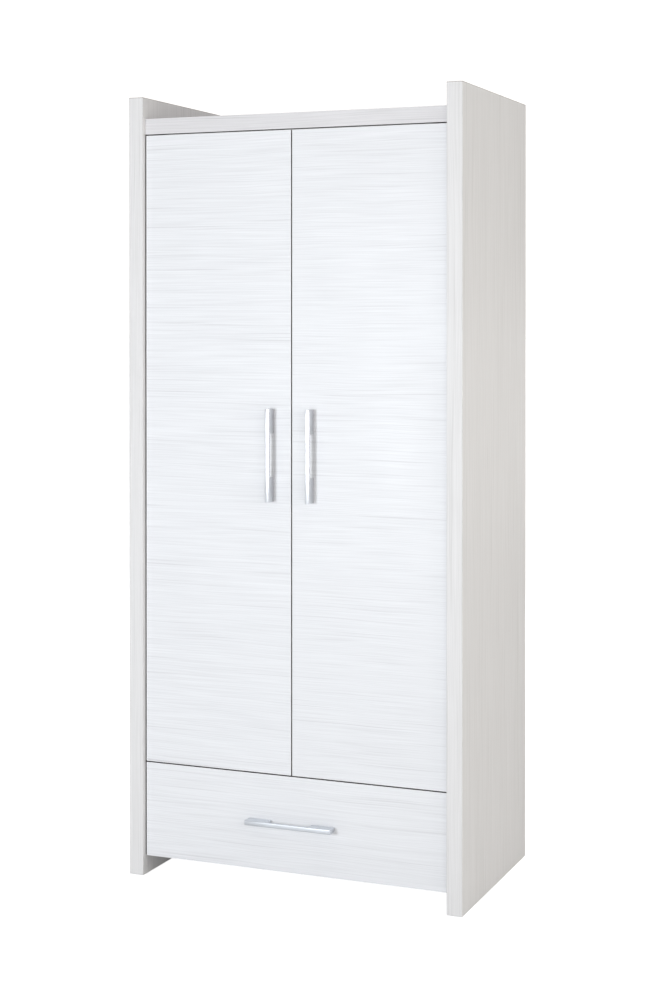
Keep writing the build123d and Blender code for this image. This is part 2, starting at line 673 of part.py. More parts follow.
PIN_LENGTH = 2 * (CUP_RADIUS - CUP_WALL) - 0.6
with BuildPart() as hinge_pin:
    with BuildSketch(Plane.XY.offset(-PIN_LENGTH / 2)):
        Circle(PIN_RADIUS)
    extrude(amount=PIN_LENGTH)

for name, side in SIDES.items():
    cup_planes = [door_back_plane(side, CUP_IN, height) for height in HINGE_HEIGHTS]
    cup_screw_planes = [
        door_back_plane(side, CUP_IN, height + rise)
        for height in HINGE_HEIGHTS
        for rise in (-CUP_SCREW_RISE, CUP_SCREW_RISE)
    ]
    handle_x = side * HANDLE_OFFSET
    handle_screw_planes = [
        facing((handle_x, DOOR_BACK, HANDLE_MIDDLE + rise), (0, 1, 0)) for rise in HANDLE_RISES
    ]
    with BuildPart() as door_panel:
        add(slab(sorted(side * x for x in DOOR_X), (DOOR_FRONT, DOOR_BACK), (DOOR_BOTTOM, DOOR_TOP)))
        fillet(door_panel.edges(), EDGE_ROUND)
        with Locations(*cup_planes):
            Hole(CUP_RADIUS, CUP_DEPTH)
        with Locations(*cup_screw_planes):
            Hole(CUP_SCREW_RADIUS, CUP_SCREW_LENGTH)
        with Locations(*handle_screw_planes):
            Hole(HANDLE_SCREW_RADIUS + 0.25, DOOR_THICK)
    finish(door_panel, f"{name}_door_panel")
    copies(f"{name}_hinge_cups", cup.part, cup_planes)
    copies(f"{name}_hinge_pins", hinge_pin.part, [
        facing((*hinge_point(side, PIVOT_IN, PIVOT_BACK), height), (0, 0, 1)) for height in HINGE_HEIGHTS
    ])
    cup_screw = pan_screw(CUP_SCREW_RADIUS - FIT_PLAY, CUP_SCREW_LENGTH, 3.4, 1.4)
    copies(f"{name}_cup_screws", cup_screw, [
        door_back_plane(side, CUP_IN, height + rise, DOOR_THICK + CUP_FLANGE)
        for height in HINGE_HEIGHTS
        for rise in (-CUP_SCREW_RISE, CUP_SCREW_RISE)
    ])
    copies(f"{name}_handle", handle_shape, [handle_plane(handle_x, HANDLE_MIDDLE, (0, 0, 1))])
    copies(f"{name}_handle_screws", handle_screw, handle_screw_planes)

# ---------------------------------------------------------------- bumpers that the doors shut against
BUMPER_HEIGHT = 0.7
BUMPER_RADIUS = 3.0
with BuildPart() as bumper:
    with BuildSketch(Plane.XY):
        Circle(BUMPER_RADIUS)
    extrude(amount=BUMPER_HEIGHT)
    chamfer(bumper.edges().group_by(Axis.Z)[-1], 0.3)
bumper_spots = [
    *[(x, (FLOOR_UPPER + DOOR_BOTTOM) / 2) for x in (-30.0, 30.0)],
    *[(x, DOOR_TOP - 12.0) for x in (-30.0, 30.0)],
    *[(x, (FLOOR_LOWER + DRAWER_TOP) / 2) for x in (-300.0, 300.0)],
]
copies("bumpers", bumper.part, [facing((x, BOARD_FRONT, z), (0, -1, 0)) for x, z in bumper_spots])

# ---------------------------------------------------------------- drawer box
DRAWER_SIDE_X = (DRAWER_X - BOARD, DRAWER_X)
DRAWER_UPPER = DRAWER_BOX_BOTTOM + DRAWER_SIDE_HEIGHT
PANEL_GROOVE = 6.0
BOTTOM_Z = (DRAWER_BOX_BOTTOM + 10.0, DRAWER_BOX_BOTTOM + 13.2)
BACK_LOWER = BOTTOM_Z[1] + 0.4
DRAWER_CAM_HEIGHTS = (DRAWER_BOX_BOTTOM + 35.0, DRAWER_BOX_BOTTOM + 105.0)
DRAWER_BOLT_X = DRAWER_X - BOARD + CAM_AXIS
CORNER_SCREW_HEIGHTS = (DRAWER_BOX_BOTTOM + 40.0, DRAWER_BOX_BOTTOM + 110.0)
CORNER_SCREW_LENGTH = 38.0
RAIL_LIP_SCREW_X = DRAWER_X - BOARD / 2
RAIL_LIP_SCREWS = (-150.0, 0.0, 180.0)
FRONT_BOLT_DEPTH = BOLT_THREAD_LENGTH + 1

with BuildPart() as drawer_front:
    add(slab((-DOOR_X[1], DOOR_X[1]), (DOOR_FRONT, DOOR_BACK), (DRAWER_BOTTOM, DRAWER_TOP)))
    fillet(drawer_front.edges(), EDGE_ROUND)
    with BuildSketch(Plane.XY.offset(BOTTOM_Z[0])):
        with Locations((0, DOOR_BACK - PANEL_GROOVE / 2)):
            Rectangle(2 * (DRAWER_SIDE_X[0] + PANEL_GROOVE), PANEL_GROOVE)
    extrude(amount=BOTTOM_Z[1] - BOTTOM_Z[0], mode=Mode.SUBTRACT)
    with Locations(*[
        facing((side * DRAWER_BOLT_X, DOOR_BACK, z), (0, 1, 0))
        for side in SIDES.values()
        for z in DRAWER_CAM_HEIGHTS
    ]):
        Hole(BOLT_THREAD_RADIUS, FRONT_BOLT_DEPTH)
    with Locations(*[facing((rise, DOOR_BACK, DRAWER_HANDLE_HEIGHT), (0, 1, 0)) for rise in HANDLE_RISES]):
        Hole(HANDLE_SCREW_RADIUS + 0.25, DOOR_THICK)
finish(drawer_front, "drawer_front")

for name, side in SIDES.items():
    with BuildPart() as drawer_side:
        add(slab(
            sorted(side * x for x in DRAWER_SIDE_X),
            (DOOR_BACK, DRAWER_REAR),
            (DRAWER_BOX_BOTTOM, DRAWER_UPPER),
        ))
        with BuildSketch(Plane.XY.offset(BOTTOM_Z[0])):
            with Locations((side * (DRAWER_SIDE_X[0] + PANEL_GROOVE / 2), (DOOR_BACK + DRAWER_REAR) / 2)):
                Rectangle(PANEL_GROOVE, DRAWER_LENGTH)
        extrude(amount=BOTTOM_Z[1] - BOTTOM_Z[0], mode=Mode.SUBTRACT)
        with Locations(*[
            facing((side * DRAWER_SIDE_X[0], DOOR_BACK + CAM_REACH, z), (-side, 0, 0))
            for z in DRAWER_CAM_HEIGHTS
        ]):
            Hole(CAM_RADIUS, CAM_DEPTH)
        with Locations(*[
            facing((side * DRAWER_BOLT_X, DOOR_BACK, z), (0, -1, 0)) for z in DRAWER_CAM_HEIGHTS
        ]):
            Hole(BOLT_ROD_RADIUS, CAM_REACH + 4)
        with Locations(*[
            facing((side * DRAWER_X, DRAWER_REAR - BOARD / 2, z), (side, 0, 0)) for z in CORNER_SCREW_HEIGHTS
        ]):
            CounterSinkHole(2.0, 3.8, BOARD)
        with Locations(*[
            facing((side * RAIL_LIP_SCREW_X, y, DRAWER_BOX_BOTTOM), (0, 0, -1)) for y in RAIL_LIP_SCREWS
        ]):
            Hole(PANEL_SCREW_RADIUS, PANEL_SCREW_LENGTH)
    finish(drawer_side, f"drawer_side_{name}")

with BuildPart() as drawer_back:
    add(slab(
        (-DRAWER_SIDE_X[0], DRAWER_SIDE_X[0]),
        (DRAWER_REAR - BOARD, DRAWER_REAR),
        (BACK_LOWER, DRAWER_UPPER),
    ))
    with Locations(*[
        facing((side * DRAWER_SIDE_X[0], DRAWER_REAR - BOARD / 2, z), (side, 0, 0))
        for side in SIDES.values()
        for z in CORNER_SCREW_HEIGHTS
    ]):
        Hole(2.0, CORNER_SCREW_LENGTH - BOARD)
finish(drawer_back, "drawer_back")

BOTTOM_EDGE = DRAWER_SIDE_X[0] + PANEL_GROOVE - 0.5
with BuildPart() as drawer_bottom:
    add(slab(
        (-BOTTOM_EDGE, BOTTOM_EDGE),
        (DOOR_BACK - PANEL_GROOVE + 0.5, DRAWER_REAR),
        (BOTTOM_Z[0] + 0.1, BOTTOM_Z[1] - 0.1),
    ))
finish(drawer_bottom, "drawer_bottom")

copies("drawer_cam_locks", cam_lock(), [
    Plane(origin=(side * DRAWER_SIDE_X[0], DOOR_BACK + CAM_REACH, z), x_dir=(0, -1, 0), z_dir=(-side, 0, 0))
    for side in SIDES.values()
    for z in DRAWER_CAM_HEIGHTS
])
copies("drawer_cam_bolts", cam_bolt(), [
    Plane(origin=(side * DRAWER_BOLT_X, DOOR_BACK, z), x_dir=(1, 0, 0), z_dir=(0, 1, 0))
    for side in SIDES.values()
    for z in DRAWER_CAM_HEIGHTS
])
copies("drawer_corner_screws", flat_screw(2.0 - FIT_PLAY, CORNER_SCREW_LENGTH - 1, 3.8 - FIT_PLAY), [
    facing((side * DRAWER_X, DRAWER_REAR - BOARD / 2, z), (side, 0, 0))
    for side in SIDES.values()
    for z in CORNER_SCREW_HEIGHTS
])
copies("drawer_handle", handle_shape, [handle_plane(0, DRAWER_HANDLE_HEIGHT, (1, 0, 0))])
copies("drawer_handle_screws", handle_screw, [
    facing((rise, DOOR_BACK, DRAWER_HANDLE_HEIGHT), (0, 1, 0)) for rise in HANDLE_RISES
])

# ---------------------------------------------------------------- drawer runners
CABINET_RAIL_Y = (DOOR_BACK + 2.0, DRAWER_REAR + 2.0)
DRAWER_RAIL_Y = (DOOR_BACK + 5.0, DRAWER_REAR)
TRACK_LOWER = RUNNER_BASE + RUNNER_SHEET             # the face that the drawer's rear rollers run on
FLANGE_LOWER = RUNNER_BASE + 27.0                    # the face that runs on the cabinet's front rollers
FRONT_ROLLER = (CABINET_RAIL_Y[0] + 12.0, FLANGE_LOWER - ROLLER_PLAY - ROLLER_RADIUS)
REAR_ROLLER = (DRAWER_RAIL_Y[1] - 11.0, TRACK_LOWER + ROLLER_PLAY + ROLLER_RADIUS)
ROLLER_START = 2.2                                   # from the drawer side to the roller's near face
LIP_WIDTH = 15.0

for name, side in SIDES.items():
    with BuildPart() as cabinet_rail:
        with BuildSketch(Plane.XZ.offset(-CABINET_RAIL_Y[0])):
            with Locations((side * (INNER_X - RUNNER_SHEET / 2), RUNNER_BASE + RUNNER_HEIGHT / 2)):
                Rectangle(RUNNER_SHEET, RUNNER_HEIGHT)
            with Locations((side * (INNER_X - 5.0), RUNNER_BASE + RUNNER_SHEET / 2)):
                Rectangle(10.0, RUNNER_SHEET)
            with Locations((side * (INNER_X - 4.25), RUNNER_BASE + RUNNER_HEIGHT - RUNNER_SHEET / 2)):
                Rectangle(8.5, RUNNER_SHEET)
        extrude(amount=-(CABINET_RAIL_Y[1] - CABINET_RAIL_Y[0]))
        with Locations(*[
            facing((side * (INNER_X - RUNNER_SHEET), y, RUNNER_SCREW_HEIGHT), (-side, 0, 0))
            for y in RUNNER_SCREW_PLACES
        ]):
            Hole(PANEL_SCREW_RADIUS + 0.2, RUNNER_SHEET)
    finish(cabinet_rail, f"cabinet_rail_{name}")

    with BuildPart() as drawer_rail:
        with BuildSketch(Plane.XZ.offset(-DRAWER_RAIL_Y[0])):
            web_low = DRAWER_BOX_BOTTOM - RUNNER_SHEET
            web_high = FLANGE_LOWER + RUNNER_SHEET
            with Locations((side * (DRAWER_X + RUNNER_SHEET / 2), (web_low + web_high) / 2)):
                Rectangle(RUNNER_SHEET, web_high - web_low)
            with Locations((side * (DRAWER_X + 4.5), FLANGE_LOWER + RUNNER_SHEET / 2)):
                Rectangle(9.0, RUNNER_SHEET)
            with Locations((side * (DRAWER_X + RUNNER_SHEET - LIP_WIDTH / 2), web_low + RUNNER_SHEET / 2)):
                Rectangle(LIP_WIDTH, RUNNER_SHEET)
        extrude(amount=-(DRAWER_RAIL_Y[1] - DRAWER_RAIL_Y[0]))
        with Locations(*[
            facing((side * RAIL_LIP_SCREW_X, y, web_low), (0, 0, -1)) for y in RAIL_LIP_SCREWS
        ]):
            Hole(PANEL_SCREW_RADIUS + 0.2, RUNNER_SHEET)
    finish(drawer_rail, f"drawer_rail_{name}")

with BuildPart() as roller:
    with BuildSketch(Plane.XY):
        Circle(ROLLER_RADIUS)
        Circle(ROLLER_PIN_RADIUS + 0.05, mode=Mode.SUBTRACT)
    extrude(amount=ROLLER_WIDTH)
    chamfer(roller.edges().filter_by(GeomType.CIRCLE).sort_by(SortBy.RADIUS)[-2:], 0.6)

with BuildPart() as cabinet_pin:
    with BuildSketch(Plane.XY):
        Circle(4.0)
    extrude(amount=2.9)
    with BuildSketch(Plane.XY.offset(2.9)):
        Circle(ROLLER_PIN_RADIUS)
    extrude(amount=ROLLER_WIDTH + 0.4)
    with BuildSketch(Plane.XY.offset(3.3 + ROLLER_WIDTH)):
        Circle(3.4)
    extrude(amount=0.4)

with BuildPart() as drawer_pin:
    with BuildSketch(Plane.XY):
        Circle(ROLLER_PIN_RADIUS)
    extrude(amount=1.2 + ROLLER_WIDTH)
    with BuildSketch(Plane.XY.offset(1.2 + ROLLER_WIDTH)):
        Circle(3.6)
    extrude(amount=0.9)

for name, side in SIDES.items():
    roller_x = side * (DRAWER_X + ROLLER_START)
    copies(f"cabinet_roller_{name}", roller.part, [facing((roller_x, *FRONT_ROLLER), (side, 0, 0))])
    copies(f"drawer_roller_{name}", roller.part, [facing((roller_x, *REAR_ROLLER), (side, 0, 0))])

copies("cabinet_roller_pins", cabinet_pin.part, [
    facing((side * (INNER_X - RUNNER_SHEET), *FRONT_ROLLER), (-side, 0, 0)) for side in SIDES.values()
])
copies("drawer_roller_pins", drawer_pin.part, [
    facing((side * (DRAWER_X + RUNNER_SHEET), *REAR_ROLLER), (side, 0, 0)) for side in SIDES.values()
])
copies("drawer_rail_screws", pan_screw(PANEL_SCREW_RADIUS - FIT_PLAY, PANEL_SCREW_LENGTH, 3.2, 1.6), [
    facing((side * RAIL_LIP_SCREW_X, y, DRAWER_BOX_BOTTOM - RUNNER_SHEET), (0, 0, -1))
    for side in SIDES.values()
    for y in RAIL_LIP_SCREWS
])

# ---------------------------------------------------------------- screws for the carcass's small fittings
panel_screw_planes = [
    facing((side * (INNER_X - RUNNER_SHEET), y, RUNNER_SCREW_HEIGHT), (-side, 0, 0))
    for side in SIDES.values()
    for y in RUNNER_SCREW_PLACES
]
panel_screw_planes += [
    facing((side * (INNER_X - CUP_PLATE), 0, RAIL_HEIGHT + rise), (-side, 0, 0))
    for side in SIDES.values()
    for rise in (-RAIL_SCREW_RISE, RAIL_SCREW_RISE)
]
panel_screw_planes += [
    facing((x, BRACKET_SCREW_Y, TOP_UPPER + BRACKET_SHEET), (0, 0, 1))
    for x in (-BRACKET_SCREW_X, BRACKET_SCREW_X)
]
panel_screw = pan_screw(PANEL_SCREW_RADIUS - FIT_PLAY, PANEL_SCREW_LENGTH, 3.2, 1.6)
copies("panel_screws", panel_screw, panel_screw_planes)
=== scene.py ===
# %% [markdown]
# # A white wardrobe, finished in Blender
# The wardrobe's boards, hinges, runners and screws come from the CAD model, already at their real size
# and place. This lesson gives every one of them its finish, models the three bar handles again by hand
# with the edit-mode tools, and sets up a bright studio round the whole thing.
# All lengths are in metres, +Z is up, and the front faces -Y.

# %% Load the frame
import json
import math
import bpy
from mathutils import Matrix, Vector


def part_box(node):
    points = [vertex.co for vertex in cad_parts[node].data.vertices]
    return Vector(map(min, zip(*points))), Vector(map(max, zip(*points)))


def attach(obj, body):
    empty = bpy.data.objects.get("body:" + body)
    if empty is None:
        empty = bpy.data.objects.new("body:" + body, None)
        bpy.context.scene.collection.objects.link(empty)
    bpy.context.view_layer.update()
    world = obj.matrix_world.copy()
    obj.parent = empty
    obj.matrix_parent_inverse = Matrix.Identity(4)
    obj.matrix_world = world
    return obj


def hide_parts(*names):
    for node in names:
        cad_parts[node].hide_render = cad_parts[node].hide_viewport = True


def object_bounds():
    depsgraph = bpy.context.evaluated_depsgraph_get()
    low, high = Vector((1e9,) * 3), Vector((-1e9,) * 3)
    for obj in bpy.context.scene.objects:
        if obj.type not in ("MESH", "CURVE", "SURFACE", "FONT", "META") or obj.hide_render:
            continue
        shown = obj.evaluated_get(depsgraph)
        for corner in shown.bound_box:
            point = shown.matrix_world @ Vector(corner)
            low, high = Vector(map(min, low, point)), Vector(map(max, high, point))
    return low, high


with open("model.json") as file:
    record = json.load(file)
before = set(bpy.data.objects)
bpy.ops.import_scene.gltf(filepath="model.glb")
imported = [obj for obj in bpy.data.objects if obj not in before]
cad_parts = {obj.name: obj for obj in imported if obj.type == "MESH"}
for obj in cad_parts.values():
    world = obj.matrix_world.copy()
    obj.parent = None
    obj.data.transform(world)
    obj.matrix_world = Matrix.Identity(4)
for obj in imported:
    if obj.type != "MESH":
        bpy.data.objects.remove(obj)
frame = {"nodes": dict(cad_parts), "record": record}
nodes = frame["nodes"]
cad_low, cad_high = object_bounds()
slot_of = {part["node"]: part["material_slot"] for part in frame["record"]["subparts"]}
print("loaded", len(nodes), "pieces, overall", [round(v, 3) for v in cad_high - cad_low])

# %% [markdown]
# ## The camera
# A tall piece of furniture looks best when the camera is held level, so that its upright edges stay
# parallel, and the lens is shifted to bring the whole piece into view. The camera here does that: it stands
# to the right of the wardrobe at chest height, turned towards it, almost without tilt.

# %% Camera
CAMERA_PLACE = Vector((1.712, -4.155, 1.3655))
CAMERA_TURN = 0.3886          # radians to the left of straight ahead
CAMERA_TILT = 0.0056          # radians down
FOCAL_LENGTH = 65.24          # millimetres, on a sensor 36 mm along its longer side
LENS_SHIFT = -0.173

bpy.ops.object.camera_add(
    location=CAMERA_PLACE,
    rotation=(math.pi / 2 - CAMERA_TILT, 0, CAMERA_TURN),
)
camera = bpy.context.object
camera.name = "camera"
camera.data.sensor_fit = "AUTO"
camera.data.sensor_width = 36
camera.data.lens = FOCAL_LENGTH
camera.data.shift_y = LENS_SHIFT
bpy.context.scene.camera = camera
camera_distance = (CAMERA_PLACE - (cad_low + cad_high) / 2).length
print("camera", round(camera_distance, 2), "m from the middle of the wardrobe")

# %% [markdown]
# ## The room
# White furniture needs a white room, or it turns grey. The world gives an even light from all round. If it
# were as strong as the white the camera should see, it would wash out every shadow, so it has two
# strengths: a weak one for the light that falls on things, and a strong one for what the camera sees.

# %% World
WORLD_LIGHT = 0.33            # how much the world lights the wardrobe
WORLD_WHITE = 1.1             # how bright the camera sees it
WORLD_COLOUR = (1.0, 0.99, 0.975, 1)


def seen_strength(tree, hidden, seen):
    """One value for light that falls on things and another for what the camera sees directly."""
    path = tree.nodes.new("ShaderNodeLightPath")
    strength = tree.nodes.new("ShaderNodeMapRange")
    strength.inputs["To Min"].default_value = hidden
    strength.inputs["To Max"].default_value = seen
    tree.links.new(path.outputs["Is Camera Ray"], strength.inputs["Value"])
    return strength.outputs["Result"]


world = bpy.data.worlds.new("studio")
bpy.context.scene.world = world
world.use_nodes = True
background = world.node_tree.nodes["Background"]
background.inputs["Color"].default_value = WORLD_COLOUR
world_strength = seen_strength(world.node_tree, WORLD_LIGHT, WORLD_WHITE)
world.node_tree.links.new(world_strength, background.inputs["Strength"])
bpy.context.scene.view_settings.view_transform = "Standard"
print("world gives", WORLD_LIGHT, "and is seen at", WORLD_WHITE)

# %% [markdown]
# ## The lights
# Six soft lights shape the wardrobe. The key light stands left of the camera, where the doors mirror it:
# that gives them their glow at handle height and the handles their short shadows. A fill stands near the
# camera, a third light reaches the side panel from below its top edge, so that the recess above the sunk
# top stays darker, and one hangs overhead. The last two stand behind the fronts, where they only keep the
# back and the left side from going dull.

# %% Lights
COOL, NEUTRAL, WARM = (0.915, 0.96, 1.0), (1.0, 0.99, 0.98), (1.0, 0.98, 0.92)


def softbox(name, place, target, size, watts, colour):
    """A rectangular light that points at a target."""
    bpy.ops.object.light_add(type="AREA", location=place)
    light = bpy.context.object
    light.name = name
    light.rotation_euler = (Vector(target) - Vector(place)).to_track_quat("-Z", "Y").to_euler()
    light.data.shape = "RECTANGLE"
    light.data.size, light.data.size_y = size
    light.data.energy = watts
    light.data.color = colour


# Each light has a name, a place, a target, a width and height, a power in watts and a colour.
softbox("key_light", (-1.0, -4.3, 1.15), (0.0, -0.2, 1.05), (0.9, 0.9), 81, COOL)
softbox("fill_light", (3.0, -3.4, 1.3), (0.0, -0.2, 1.0), (2.8, 1.8), 29, NEUTRAL)
softbox("side_light", (3.6, -0.5, 1.38), (0.4, 0.0, 1.95), (2.2, 0.9), 44, WARM)
softbox("overhead_light", (0.0, -0.4, 4.0), (0.0, -0.2, 0.0), (3.0, 3.0), 32, NEUTRAL)
softbox("rear_light", (0.0, 4.4, 0.9), (0.0, 0.2, 0.9), (2.0, 1.1), 45, NEUTRAL)
softbox("left_light", (-3.4, 0.7, 1.0), (-0.4, 0.1, 1.0), (0.8, 1.4), 34, NEUTRAL)

# %% [markdown]
# ## The floor
# The floor is a very large sheet of matt white paper, so large that its far edge can't be told from the
# white world. Like the world it has two strengths of glow, and only the weak one falls on the wardrobe.

# %% Floor
FLOOR_GLOW = 0.02             # how much the floor lights the wardrobe
FLOOR_WHITE = 0.93            # how much the camera sees of its glow
FLOOR_COLOUR = (0.72, 0.72, 0.72, 1)
FLOOR_SIZE = 200

bpy.ops.mesh.primitive_plane_add(size=FLOOR_SIZE, location=(0, 0, 0))
floor = bpy.context.object
floor.name = "floor"
floor_paint = bpy.data.materials.new("floor_paint")
floor_paint.use_nodes = True
floor_shader = floor_paint.node_tree.nodes["Principled BSDF"]
floor_shader.inputs["Base Color"].default_value = FLOOR_COLOUR
floor_shader.inputs["Roughness"].default_value = 0.9
floor_shader.inputs["Specular IOR Level"].default_value = 0.1
floor_shader.inputs["Emission Color"].default_value = (1, 1, 1, 1)
floor_glow = seen_strength(floor_paint.node_tree, FLOOR_GLOW, FLOOR_WHITE)
floor_paint.node_tree.links.new(floor_glow, floor_shader.inputs["Emission Strength"])
floor.data.materials.append(floor_paint)
print("floor", FLOOR_SIZE, "m square")

# %% [markdown]
# ## Small helpers for building shaders
# Node trees are easier to read in code when a node is made, given its values and linked in one call.
# A value in the call may be a number, a colour or another node's output.

# %% Node helpers


def node(tree, kind, values=None, **settings):
    """Add a node, set its properties, and fill or link its inputs by name or number."""
    made = tree.nodes.new(kind)
    for key, value in settings.items():
        setattr(made, key, value)
    for key, value in (values or {}).items():
        socket = made.inputs[key]
        if isinstance(value, bpy.types.NodeSocket):
            tree.links.new(value, socket)
        else:
            socket.default_value = value
    return made


def math_node(tree, operation, *values, clamp=False):
    """One arithmetic step, returned as its output socket."""
    made = node(tree, "ShaderNodeMath", dict(enumerate(values)), operation=operation, use_clamp=clamp)
    return made.outputs[0]


def ramp(tree, value, low, high, out_low=0.0, out_high=1.0):
    """Stretch a value from one range to another, clamped."""
    made = node(tree, "ShaderNodeMapRange", {
        "Value": value, "From Min": low, "From Max": high, "To Min": out_low, "To Max": out_high,
    })
    return made.outputs["Result"]


def colour_mix(tree, factor, first, second):
    """Blend two colours by a factor."""
    made = node(tree, "ShaderNodeMix", {0: factor, 6: first, 7: second}, data_type="RGBA")
    return made.outputs[2]


def new_group(name, inputs, outputs):
    """A shader node group with named sockets; each input is (name, kind, default)."""
    tree = bpy.data.node_groups.new(name, "ShaderNodeTree")
    for label, kind, default in inputs:
        socket = tree.interface.new_socket(label, in_out="INPUT", socket_type=kind)
        if default is not None:
            socket.default_value = default
    for label, kind in outputs:
        tree.interface.new_socket(label, in_out="OUTPUT", socket_type=kind)
    return tree, tree.nodes.new("NodeGroupInput").outputs, tree.nodes.new("NodeGroupOutput").inputs


def use_group(tree, group, values):
    """Place a group in a material with its own values."""
    made = node(tree, "ShaderNodeGroup", node_tree=group)
    for key, value in values.items():
        if isinstance(value, bpy.types.NodeSocket):
            tree.links.new(value, made.inputs[key])
        else:
            made.inputs[key].default_value = value
    return made.outputs


FLOAT, VECTOR = "NodeSocketFloat", "NodeSocketVector"
helpers = (node, math_node, ramp, colour_mix, new_group, use_group)
print("helpers", [helper.__name__ for helper in helpers])

# %% [markdown]
# ## Printed wood grain
# The boards are faced with a laminate: a printed sheet of pale wood grain under a clear hard skin. The
# grain runs level across the doors and upright on the sides. Noise that is stretched thirty to a hundred
# times further along the grain than across it gives such lines. Three sizes are mixed, from hairlines to
# wide clouds, with a few darker lines that come and go, and a slow sideways drift makes them all waver.

# %% Grain group
# Features per metre along and across the grain, and how many finer layers of noise lie over them.
DRIFT_NOISE = (3.0, 6.0, 1.0)
HAIRLINE_NOISE = (6.0, 560.0, 1.0)
STREAK_NOISE = (2.4, 270.0, 2.0)
CLOUD_NOISE = (1.0, 34.0, 2.0)
DARK_LINE_NOISE = (2.2, 260.0, 1.0)
FADE_NOISE = (2.6, 70.0, 1.0)
GRAIN_DRIFT = 0.007           # how far the lines waver
# The part of each noise's range that is stretched to full strength.
HAIRLINE_RANGE, STREAK_RANGE, CLOUD_RANGE = (0.32, 0.68), (0.34, 0.68), (0.34, 0.66)
DARK_LINE_RANGE, FADE_RANGE = (0.57, 0.70), (0.40, 0.60)


def stretched_noise(tree, along, across, seed, features):
    """Noise drawn out along the grain."""
    along_scale, across_scale, detail = features
    place = node(tree, "ShaderNodeCombineXYZ", {
        "X": math_node(tree, "MULTIPLY", along, along_scale),
        "Y": math_node(tree, "MULTIPLY", across, across_scale),
        "Z": seed,
    })
    noise = node(tree, "ShaderNodeTexNoise", {
        "Vector": place.outputs[0], "Scale": 1.0, "Detail": detail, "Roughness": 0.55,
    })
    return noise.outputs["Fac"]


grain, grain_in, grain_out = new_group(
    "laminate_grain",
    [("Along", FLOAT, 0.0), ("Across", FLOAT, 0.0), ("Seed", FLOAT, 0.0), ("Drift", FLOAT, GRAIN_DRIFT)],
    [("Hairlines", FLOAT), ("Streaks", FLOAT), ("Clouds", FLOAT), ("Dark lines", FLOAT)],
)
along, straight, seed = grain_in["Along"], grain_in["Across"], grain_in["Seed"]
drift = stretched_noise(grain, along, straight, seed, DRIFT_NOISE)
drift = math_node(grain, "MULTIPLY", math_node(grain, "SUBTRACT", drift, 0.5), grain_in["Drift"])
wavy = math_node(grain, "MULTIPLY_ADD", drift, 2.0, straight)
hairlines = stretched_noise(grain, along, wavy, seed, HAIRLINE_NOISE)
streaks = stretched_noise(grain, along, wavy, seed, STREAK_NOISE)
clouds = stretched_noise(grain, along, wavy, seed, CLOUD_NOISE)
lone = stretched_noise(grain, along, wavy, seed, DARK_LINE_NOISE)
fade = stretched_noise(grain, along, straight, seed, FADE_NOISE)
lone, fade = ramp(grain, lone, *DARK_LINE_RANGE), ramp(grain, fade, *FADE_RANGE)
grain.links.new(ramp(grain, hairlines, *HAIRLINE_RANGE), grain_out["Hairlines"])
grain.links.new(ramp(grain, streaks, *STREAK_RANGE), grain_out["Streaks"])
grain.links.new(ramp(grain, clouds, *CLOUD_RANGE), grain_out["Clouds"])
grain.links.new(math_node(grain, "MULTIPLY", lone, fade), grain_out["Dark lines"])
print("group", grain.name, "has", len(grain.nodes), "nodes")

# %% [markdown]
# ## The edges of a board
# Every board is closed by a thin plastic edge band, glued on and rounded over with a scraper. Where it meets
# the face there is a hair-thin seam, and hands and cloths polish the corner itself. The same corner mask
# also carries a painted highlight, a paler colour along the edges of the front and top boards. A board is a
# box, so the distance to its nearest edge is the middle one of its three distances to the box's sides, and
# no extra geometry is needed to find it.

# %% Board edge group
BAND_THICK = 0.0011
CORNER_FADE = (0.0009, 0.0019)          # from the full corner (polish, rim tint, painted highlight) to none
SEAM_FADE = (0.0001, 0.0003)

edges, edges_in, edges_out = new_group(
    "board_edges",
    [("Position", VECTOR, None), ("Low", VECTOR, None), ("High", VECTOR, None), ("Band", FLOAT, BAND_THICK)],
    [("Corner", FLOAT), ("Seam", FLOAT)],
)


def vector_step(tree, operation, first, second):
    """One vector step, returned as its output socket."""
    return node(tree, "ShaderNodeVectorMath", {0: first, 1: second}, operation=operation).outputs[0]


from_low = vector_step(edges, "SUBTRACT", edges_in["Position"], edges_in["Low"])
from_high = vector_step(edges, "SUBTRACT", edges_in["High"], edges_in["Position"])
nearest = vector_step(edges, "MINIMUM", from_low, from_high)
side = node(edges, "ShaderNodeSeparateXYZ", {0: nearest}).outputs
smaller = math_node(edges, "MINIMUM", side["X"], side["Y"])
larger = math_node(edges, "MAXIMUM", side["X"], side["Y"])
to_edge = math_node(edges, "MAXIMUM", smaller, math_node(edges, "MINIMUM", larger, side["Z"]))
off_seam = math_node(edges, "ABSOLUTE", math_node(edges, "SUBTRACT", to_edge, edges_in["Band"]))
edges.links.new(ramp(edges, to_edge, *CORNER_FADE, 1.0, 0.0), edges_out["Corner"])
edges.links.new(ramp(edges, off_seam, *SEAM_FADE, 1.0, 0.0), edges_out["Seam"])
print("group", edges.name, "has", len(edges.nodes), "nodes")

# %% [markdown]
# ## Painted shade in the gaps
# Everything that faces the three-millimetre gaps round the doors and the drawer front is painted a dark
# brown-grey, a painted shade that makes the gaps read as dark lines. One box round all the gaps says
# where that is: it starts just behind the front faces and ends just before the backs of the doors.

# %% Painted gap shade group
GAP_REACH = 0.001             # how far the box goes into the boards beside and above the gaps
FRONT_CLEAR = 0.0008          # between the doors' front faces and the box
BACK_CLEAR = 0.0004           # between the box and the doors' back faces
PAINTED_SHADE_EDGE = 0.0008            # the painted shade fades in over this length
